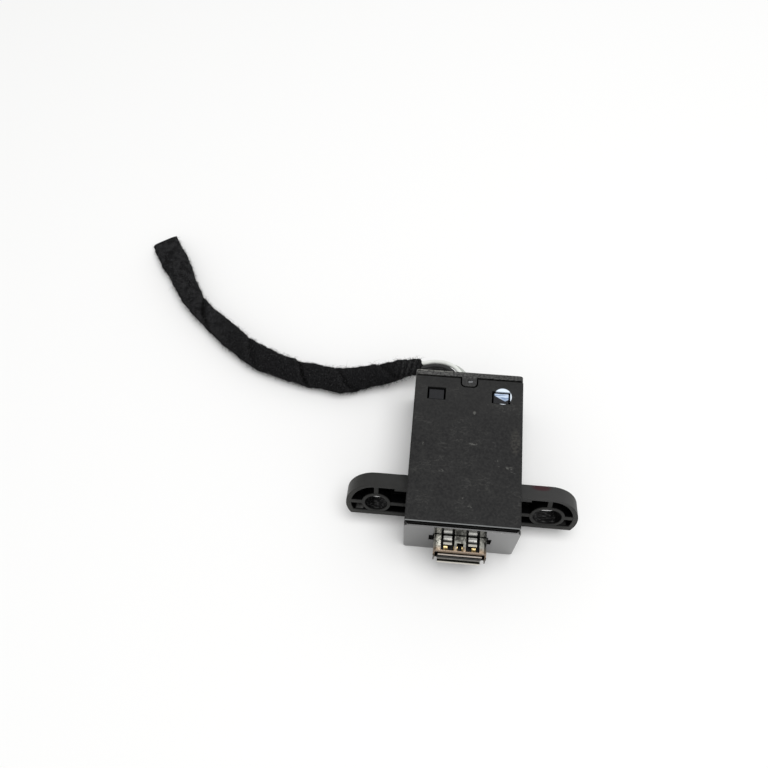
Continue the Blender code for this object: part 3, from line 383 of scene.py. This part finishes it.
# Painted highlights on the leaf springs where they bow down and at their free tips
lane = ((east.size() - spring_x).size()).rise(1.2, 1.0) * north.rise(mouth + 1.2, mouth + 1.5)
bow = north.between(mouth + 3.85, mouth + 4.35, 0.15) * lane
tip = north.between(mouth + 2.4, mouth + 3.3, 0.08) * lane
spring = plated.mix(smear, (0.1, 0.1, 0.095), (0.2, 0.2, 0.19))
spring = plated.mix(bow * 0.6, spring, (0.9, 0.89, 0.83))
tone = plated.mix(lane, plate, spring)
# Painted highlights: the roll behind the upper lip, the two lips' cut edges, the lower wall inside the mouth
lower_wall = height.rise(shell_low + 0.85, shell_low + 0.65)
sill = north.rise(mouth - 0.26, mouth - 0.29)
lips = north.rise(mouth + 0.1, mouth + 0.02) * height.rise(shell_top - 0.35, shell_top - 0.15) + sill
roll = north.between(mouth + 0.5, mouth + 1.05, 0.06) * height.rise(shell_top - 1.35, shell_top - 0.85)
gleam = north.between(mouth + 0.25, mouth + 0.8, 0.05) * lower_wall
tone = plated.mix(roll * 0.85, tone, (0.25, 0.19, 0.14))
tone = plated.mix(lips * (0.7 + patchiness), tone, (0.5, 0.45, 0.4))
tone = plated.mix(tip * (0.7 + patchiness), tone, (0.85, 0.82, 0.72))
tone = plated.mix(sill, tone, (0.72, 0.69, 0.62))
# Painted shade where the housing and the flare keep the light out: the wall inside the face, inside the
# mouth, the flare's cheeks and the fold under the lip
cheek = east.size().rise(6.2, 6.35) * north.rise(mouth + 0.5, mouth + 0.35)
cheek = cheek * height.rise(shell_top - 0.45, shell_top - 0.65)
fold_line = north.between(mouth + 0.15, mouth + 0.42, 0.05) * height.rise(shell_top - 0.85, shell_top - 0.55)
within = lower_wall * north.rise(mouth - 0.3, mouth - 0.25)
shell_shade = north.rise(face_front - 0.14, face_front - 0.08) + within + cheek + fold_line
tone = plated.mix(shell_shade.capped(), tone, (0.004, 0.004, 0.003))
plated.feed("Base Color", plated.mix(gleam * 0.8, tone, (0.36, 0.35, 0.32)))
plated.feed("Metallic", 1.0 - (lips + tip + roll + gleam).capped() * 0.8)
plated.feed("Roughness", 0.24 + smear * 0.22)
plated.relief(smear * 0.8 + fine * 0.5, 0.05, 0.1)
made_whole("usb_shell", "stamped_shell", plated.material)

# Insulator and contacts
# A black moulded block closes the shell's rear and carries the tongue, whose front edge is painted pale as a
# highlight, with some wear. Four gold-plated springs bow out of its grooves.
core = Finish("insulator_plastic", (0.004, 0.004, 0.004), 0.35, Specular_IOR_Level=0.15)
_, north, height = core.axes()
tongue_front, tongue_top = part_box("usb_insulator")[0].y / MM, 11.04
haze = core.cloud(0.8, 3.0)
pale_edge = north.rise(tongue_front + 0.2, tongue_front + 0.1) * height.rise(tongue_top - 1.5, tongue_top - 1.6)
core.feed("Base Color", core.mix(pale_edge * (0.6 + haze * 0.5), (0.003, 0.003, 0.003), (0.5, 0.47, 0.45)))
core.feed("Roughness", 0.3 + haze * 0.2)
made_whole("usb_insulator", "tongue_block", core.material)
gilt = Finish("contact_gold", (0.83, 0.6, 0.22), 0.25, Metallic=1.0)
# Painted shade on the contacts further inside the shell
shaded = gilt.axes()[1].rise(mouth + 2.4, mouth + 3.0)
worn_gold = gilt.mix(gilt.cloud(0.5).rise(0.35, 0.65), (0.14, 0.09, 0.03), (0.7, 0.55, 0.27))
gilt.feed("Base Color", gilt.mix(shaded, worn_gold, (0.02, 0.014, 0.006)))
gilt.feed("Roughness", 0.18 + gilt.cloud(0.3) * 0.2)
for number in range(1, 5):
    made_whole("contact_%d" % number, "contact_spring_%d" % number, gilt.material)

# Board and what sits on it
# Inside the closed housing: a green board with a white header and plug, tinned pins and fired chips. Each row
# is a finish, its two colours, roughness and metal, and the solids that have it.
INSIDE = (("board_laminate", (0.008, 0.06, 0.025), (0.014, 0.1, 0.04), 0.35, 0.0, ("circuit_board",)),
          ("nylon", (0.66, 0.64, 0.56), (0.75, 0.73, 0.66), 0.5, 0.0, ("board_header", "wire_plug")),
          ("tinned_pin", (0.6, 0.58, 0.54), (0.78, 0.77, 0.73), 0.3, 1.0,
           ("header_pin_1", "header_pin_2", "header_pin_3", "header_pin_4")),
          ("chip_body", (0.03, 0.03, 0.033), (0.06, 0.06, 0.065), 0.45, 0.0, ("line_choke", "surge_array")),
          ("capacitor_body", (0.36, 0.25, 0.16), (0.48, 0.36, 0.25), 0.4, 0.0,
           ("capacitor_1", "capacitor_2")))
for finish_name, dark, light, rough, metal, nodes in INSIDE:
    stuff = Finish(finish_name, light, rough, Metallic=metal)
    haze = stuff.cloud(0.8, 4.0)
    stuff.feed("Base Color", stuff.mix(haze.rise(0.35, 0.65), dark, light))
    stuff.feed("Roughness", rough - 0.08 + haze * 0.16)
    stuff.relief(haze, 0.02)
    for node in nodes:
        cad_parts[node].material_slots[0].material = stuff.material


# Wires
# Four thin stranded wires in plastic insulation run from the plug inside the housing, out through the cap's
# outlet in a flat row, roll up into a square and run on inside the tape to its cut end.
def travelled(line):
    """Distance along a line at each of its points."""
    return np.concatenate([[0.0], np.cumsum(np.linalg.norm(np.diff(line, axis=0), axis=1))])


def flowing(points, gap):
    """A smooth line through points in mm: each span is the cubic whose tangents are half the chord between
    the neighbours, and the line is then read again at even distances."""
    p = np.asarray(points, float) * MM
    ends = np.vstack([2 * p[:1] - p[1:2], p, 2 * p[-1:] - p[-2:-1]])
    a, b, c, d = (ends[i:i + len(p) - 1, None] for i in range(4))
    t = np.linspace(0, 1, 24, endpoint=False)[None, :, None]
    line = 0.5 * (2 * b + (c - a) * t + (2 * a - 5 * b + 4 * c - d) * t ** 2
                  + (3 * b - a - 3 * c + d) * t ** 3)
    line = np.vstack([line.reshape(-1, 3), p[-1:]])
    run = travelled(line)
    even = np.linspace(0, run[-1], int(round(run[-1] / (gap * MM))) + 1)
    return np.column_stack([np.interp(even, run, line[:, k]) for k in range(3)])


def sides(line):
    """The level direction across a line and the one that rises square to both, at each of its points."""
    along = np.gradient(line, axis=0)
    along /= np.linalg.norm(along, axis=1, keepdims=True)
    across = np.cross(along, (0.0, 0.0, 1.0))
    across /= np.linalg.norm(across, axis=1, keepdims=True)
    return across, np.cross(across, along)


def skin(name, rings, material, passed=None):
    """A closed surface over a grid of points: quads join each ring to the next and each point to its
    neighbour round the ring, and a fan of triangles closes each end. Where each ring has a number passed,
    the layer called wrap holds that number and the share of a turn round the ring."""
    rows, columns = rings.shape[:2]
    index = np.arange(rows * columns).reshape(rows, columns)
    turned = np.roll(index, -1, axis=1)
    quads = np.stack([index[:-1], turned[:-1], turned[1:], index[1:]], axis=-1).reshape(-1, 4)
    points = np.vstack([rings.reshape(-1, 3), rings[0].mean(axis=0), rings[-1].mean(axis=0)])
    low = np.full(columns, rows * columns)
    fans = np.vstack([np.stack([turned[0], index[0], low], 1),
                      np.stack([index[-1], turned[-1], low + 1], 1)])
    mesh = bpy.data.meshes.new(name)
    mesh.from_pydata(points, [], quads.tolist() + fans.tolist())
    if passed is not None:
        layer = mesh.uv_layers.new(name="wrap")
        ring, place = np.divmod(quads, columns)
        place[:, 1:3] = np.where(place[:, 1:3] < place[:, :1], columns, place[:, 1:3])
        corners = np.stack([passed[ring], place / columns], -1).reshape(-1, 2)
        rest = np.zeros((len(mesh.loops) - len(corners), 2))
        rest[:3 * columns, 0] = passed[0]
        rest[3 * columns:, 0] = passed[-1]
        layer.data.foreach_set("uv", np.vstack([corners, rest]).astype(np.float32).ravel())
    shape = bmesh.new()
    shape.from_mesh(mesh)
    bmesh.ops.recalc_face_normals(shape, faces=shape.faces)
    shape.to_mesh(mesh)
    shape.free()
    mesh.shade_smooth()
    return dressed(name, mesh, material)


def insulation(name, color):
    """Glossy plastic with faint long streaks of handling."""
    plastic = Finish(name, color, 0.35)
    haze = plastic.cloud(2.5)
    handled = tuple(c * 0.72 for c in color)
    plastic.feed("Base Color", plastic.mix(haze.rise(0.4, 0.75) * 0.35, color, handled))
    plastic.feed("Roughness", 0.28 + haze * 0.2)
    plastic.relief(plastic.cloud(0.5), 0.02)
    return plastic.material


# The bundle's middle from the plug to the tape, and the tape's middle from there to its cut end
plug_box = np.array(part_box("wire_plug")) / MM
plug_end, plug_middle = plug_box[1][1], plug_box[:, 2].mean()
outlet_x, outlet_z = -1.8, 9.6
bundle = [(0.0, plug_end - 1.2, plug_middle), (0.0, plug_end + 1.0, plug_middle)]
bundle += [(x, rear + y, z) for x, y, z in (
    (outlet_x, 0.0, outlet_z), (-1.75, 1.6, 9.6), (-2.3, 3.4, 9.55), (-3.5, 5.1, 9.4), (-5.2, 6.4, 9.1),
    (-7.4, 7.2, 8.65), (-9.9, 7.5, 8.0))]
loom = [(x, rear + y, z) for x, y, z in (
    (-12.5, 7.25, 7.15), (-16.6, 6.9, 6.2), (-20.0, 6.4, 5.4), (-24.2, 5.3, 4.5), (-28.2, 4.3, 3.8),
    (-32.6, 3.3, 3.4), (-37.2, 2.9, 3.25), (-42.0, 3.3, 3.25), (-47.0, 4.2, 3.25), (-52.2, 5.3, 3.25),
    (-57.2, 6.9, 3.25), (-62.0, 9.2, 3.25), (-66.8, 12.0, 3.25), (-71.2, 15.1, 3.25), (-75.8, 18.9, 3.25),
    (-80.4, 22.8, 3.25), (-84.8, 27.4, 3.25), (-88.3, 32.6, 3.25), (-91.3, 37.9, 3.25), (-94.4, 42.6, 2.7),
    (-97.7, 47.6, 1.8))]
wire_diameter, wire_spacing, pin_pitch = 1.2, 1.4, 2.5
short_of_end = 0.8
middle_line = flowing(bundle + loom, 0.9)
run = travelled(middle_line)
loom_start = run[np.argmin(np.linalg.norm(middle_line - np.array(loom[0]) * MM, axis=1))]
outlet = run[np.argmax(middle_line[:, 1] > rear * MM)]
kept = run < run[-1] - short_of_end * MM
across, upward = sides(middle_line)
around = np.linspace(0, 2 * np.pi, 16, endpoint=False)
WIRES = (((0.02, 0.02, 0.02), "wire_black"), ((0.015, 0.015, 0.015), "wire_black"),
         ((0.8, 0.82, 0.78), "wire_white"), ((0.5, 0.52, 0.49), "wire_grey"))
for number, (color, slot) in enumerate(WIRES):
    # From a row to a square: each pair turns a quarter about its own middle while the pairs close up
    pair = -1 if number < 2 else 1
    first = -1 if number % 2 == 0 else 1
    share = np.clip((run - outlet) / (loom_start - outlet) * 1.6, 0, 1)
    quarter = share * np.pi / 2
    over = pair * wire_spacing * (1 - 0.5 * share ** 2) + first * wire_spacing / 2 * np.cos(quarter)
    above = (1 if pair * first < 0 else -1) * wire_spacing / 2 * np.sin(quarter)
    # Inside the housing they spread to the plug's pins
    spread = np.clip(1 - run / outlet, 0, 1)
    over = over + (pin_pitch * (number - 1.5) - over) * spread
    line = (middle_line + across * over[:, None] * MM + upward * above[:, None] * MM)[kept]
    level, lift = sides(line)
    rings = line[:, None] + wire_diameter / 2 * MM * (level[:, None] * np.cos(around)[None, :, None]
                                                      + lift[:, None] * np.sin(around)[None, :, None])
    name = "wire_%d" % (number + 1)
    piece = skin(name + "_insulation", rings, insulation(name, color))
    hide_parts(name)


# Taped loom
# The wires are wound with black fleece tape in a helix, each turn lapping the one before. It starts in a
# raised fold at the wires, swells where turns lie over each other, and is pressed flat and cut square at its
# far end. The fleece is fuzzy, so that loose fibres stand off it all round.
def bristles(name, roots, bends, points, thick, material):
    """Fibres that taper from a root through a bend to a point: three rings of three corners on each, joined
    by quads and closed by a triangle at both ends."""
    sweep = np.linspace(0, 2 * np.pi, 3, endpoint=False)[None, None, :, None]
    spine = np.stack([roots, bends, points], axis=1)[:, :, None]
    along = (points - roots) / np.linalg.norm(points - roots, axis=1, keepdims=True)
    first = np.cross(along, (0.3, 0.5, 0.81))
    first /= np.linalg.norm(first, axis=1, keepdims=True)
    second = np.cross(along, first)
    taper = (thick * np.array([1.0, 0.8, 0.2]))[None, :, None, None]
    corners = spine + taper * (first[:, None, None] * np.cos(sweep) + second[:, None, None] * np.sin(sweep))
    index = np.arange(len(roots) * 9).reshape(-1, 3, 3)
    turned = np.roll(index, -1, axis=2)
    quads = np.stack([index[:, :-1], turned[:, :-1], turned[:, 1:], index[:, 1:]], axis=-1).reshape(-1, 4)
    ends = np.vstack([index[:, 0, ::-1], index[:, 2]])
    mesh = bpy.data.meshes.new(name)
    mesh.from_pydata(corners.reshape(-1, 3), [], quads.tolist() + ends.tolist())
    mesh.shade_smooth()
    return dressed(name, mesh, material)


line = flowing(loom, 0.25)
run = travelled(line)
along_mm = (run / MM)[:, None]
# The tape's width at these X, evened out over nine rings
WIDTHS = np.array([(-12.5, 3.9), (-14.6, 4.2), (-16, 4.3), (-16.6, 4.3), (-18, 4.9), (-21, 5.4), (-25, 5.7),
                   (-29, 6.2), (-33, 6.8), (-36, 7.2), (-40, 6.3), (-43.5, 7.0), (-48, 6.2), (-54, 6.4),
                   (-59, 7.0), (-63, 6.7), (-68, 6.1), (-72, 6.7), (-77, 5.7), (-79, 5.4), (-82, 5.7),
                   (-86, 6.0), (-89, 6.9), (-93, 7.9), (-97.6, 7.6)])
width = np.interp(line[:, 0] / MM, WIDTHS[::-1, 0], WIDTHS[::-1, 1])
half = np.convolve(np.pad(width, 4, "edge"), np.ones(9) / 9, "valid") / 2
turns = np.linspace(0, 2 * np.pi, 96, endpoint=False)
# How many turns of the tape have gone by at each ring: its edge comes to the far side at these X. A turn is
# thickest just behind its edge and thins out towards the next.
LAP_X = (-97.7, -83.8, -67.3, -50.5, -39.2, -26.0, -14.0)
laps = np.interp(LAP_X, line[::-1, 0] / MM, (run / MM)[::-1])
wound = np.interp(run / MM, laps[::-1], np.arange(7.0))
lap = np.mod(wound[:, None] + turns / (2 * np.pi), 1.0)
lap_step = 0.5
step = lap_step * (1 - lap) ** 0.7 * np.clip(lap * 20, 0, 1)
# The fold at the start ends in a slanting edge, then come a few slack ropelike creases
fold_height, fold_length = 0.16, 2.7
slack_start, slack_end = 3.2, 7.5
crease_height, crease_pitch = 0.1, 1.6
fold = fold_height * np.clip((fold_length + 0.5 * np.sin(turns) - along_mm) * 4, 0, 1)
slack = np.clip((along_mm - slack_start) * 1.5, 0, 1) * np.clip((slack_end - along_mm) * 0.8, 0, 1)
crease = crease_height * slack * np.sin((along_mm + turns * 0.3) * 2 * np.pi / crease_pitch)
# Fine roughness, evened out over neighbours, and slow lumps from three waves along and round the tape
rough_height, lump_height = 0.035, 0.17
chance = np.random.default_rng(11)
rough = chance.normal(0, 1, (len(line), len(turns)))
for shift in (1, 2, 3):
    rough = (rough + np.roll(rough, shift, 0) + np.roll(rough, shift, 1)) / 3 ** 0.5
waves = [np.sin(along_mm * pace + 3 * np.sin(turns + pace)) for pace in (0.9, 1.7, 2.9)]
lumps = np.array(waves).mean(0) * lump_height
# The start is rounded off, and the laps stand on a sleeve that is a little slimmer than the width
rounded_length, under_laps = 1.5, 0.15
rounded = np.sqrt(np.clip(1 - (1 - np.clip(along_mm / rounded_length, 0, 1)) ** 2, 0.12, 1))
wide = (half[:, None] - under_laps + step + fold + crease + lumps + rough_height * rough) * rounded
# Over the first part of its pressed length the round sleeve turns into a flat one with square sides
pressed_length, pressed_over, half_height = 13, 11, 3.2
flat = np.clip((along_mm - along_mm[-1] + pressed_length) / pressed_over, 0, 1)
flat = flat * flat * (3 - 2 * flat)
tall = np.minimum(wide, half_height + 0.3 * step + 0.3 * lumps) * (1 - 0.56 * flat)
square = 1 - 0.6 * flat
around_x, around_z = (np.sign(v) * np.abs(v) ** square for v in (np.cos(turns), np.sin(turns)))
level, lift = sides(line)
rings = line[:, None] + MM * (level[:, None] * (wide * around_x)[..., None]
                              + lift[:, None] * (tall * around_z)[..., None])
table_gap = 0.05
rings[..., 2] = np.maximum(rings[..., 2], table_gap * MM)
# The cut end is a hollow in which the wires' ends show
hollow_depth, hollow_share = 1.5, 0.66
centre = line[-1] * (1, 1, 0) + np.array((0, 0, rings[-1, :, 2].mean()))
inner = centre + (rings[-1] - centre) * hollow_share
direction = (line[-1] - line[-4]) / np.linalg.norm(line[-1] - line[-4])
sleeve = np.concatenate([rings, inner[None], inner[None] - direction * hollow_depth * MM])

fleece = Finish("fleece_tape", (0.011, 0.011, 0.012), 0.95, Specular_IOR_Level=0.05)
wrap = fleece.node("ShaderNodeUVMap", {"uv_map": "wrap"}, ())
parts = fleece.node("ShaderNodeSeparateXYZ", {}, (wrap,)).socket.node.outputs
passed, share = Tone(fleece, parts[0]), Tone(fleece, parts[1])
east = fleece.axes()[0]
felt = fleece.cloud(0.32, 6.0)
tufts = fleece.cloud(1.6, 4.0)
fibres = fleece.cloud(0.2, 4.0, (4.0, 1.0, 1.0))
lint = fleece.cloud(0.3, 2.0).rise(0.7, 0.78)
soot = fleece.mix(felt.rise(0.36, 0.64), (0.004, 0.004, 0.0042), (0.0165, 0.0165, 0.0175))
curve = east.rise(-66.0, -78.0)
soot = fleece.mix(curve * tufts.rise(0.35, 0.65), soot, (0.024, 0.024, 0.025))
# Painted shade in the crease beside each turn's edge, painted light a little paler on the edge, and pale
# ropes of fleece at the start
beside = (passed + share + (tufts - 0.5) * 0.12).math("FRACT")
deep = (beside.rise(0.86, 0.99) + beside.rise(0.05, 0.0)).capped()
soot = fleece.mix(deep * (fleece.cloud(9.0).rise(0.4, 0.6) * 0.5 + 0.4), soot, (0.0015, 0.0015, 0.0015))
soot = fleece.mix(beside.between(0.05, 0.12, 0.04) * felt.rise(0.4, 0.6) * 0.5, soot, (0.03, 0.03, 0.031))
ropes = (east * 3.9 + share * 9.0 + tufts * 3.0).math("SINE").rise(-0.6, 0.9)
ropes = ropes * east.between(-20.0, -14.0, 1.0)
soot = fleece.mix(ropes * felt.rise(0.35, 0.6) * 0.6, soot, (0.05, 0.05, 0.05))
fleece.feed("Base Color", fleece.mix(lint * 0.7, soot, (0.11, 0.11, 0.11)))
fleece.relief(felt * 0.8 + fibres * 0.5 + tufts * 0.5, 0.35)
tape = skin("fleece_wrap", sleeve, fleece.material, np.append(wound, [wound[-1], wound[-1]]))
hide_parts("taped_loom")

# The loose fibres: each leaves the tape outwards and leans along it or round it by chance
hair = Finish("fleece_hair", (0.03, 0.03, 0.031), 0.8, Specular_IOR_Level=0.1)
hair.feed("Base Color", hair.mix(hair.cloud(0.6).rise(0.4, 0.6), (0.008, 0.008, 0.009), (0.07, 0.07, 0.072)))
fibre_count, fibre_radius = 9000, 0.028
row = chance.integers(2, len(line) - 1, fibre_count)
column = chance.integers(0, len(turns), fibre_count)
roots = rings[row, column]
outward = roots - line[row]
outward /= np.linalg.norm(outward, axis=1, keepdims=True)
lengthwise = line[row] - line[row - 1]
lengthwise /= np.linalg.norm(lengthwise, axis=1, keepdims=True)
sideways = np.cross(outward, lengthwise)
lean, sway = chance.normal(0, 0.8, (2, fibre_count, 1))
length = MM * (0.25 + chance.gamma(1.2, 0.26, (fibre_count, 1)))
bends = roots + length * (outward * 0.5 + lengthwise * lean * 0.3 + sideways * sway * 0.3)
tips = roots + length * (outward * 0.7 + lengthwise * lean + sideways * sway)
for above_table in (bends, tips):
    above_table[:, 2] = np.maximum(above_table[:, 2], 0.06 * MM)
fuzz = bristles("fleece_fibres", roots - outward * 0.05 * MM, bends, tips, fibre_radius * MM, hair.material)
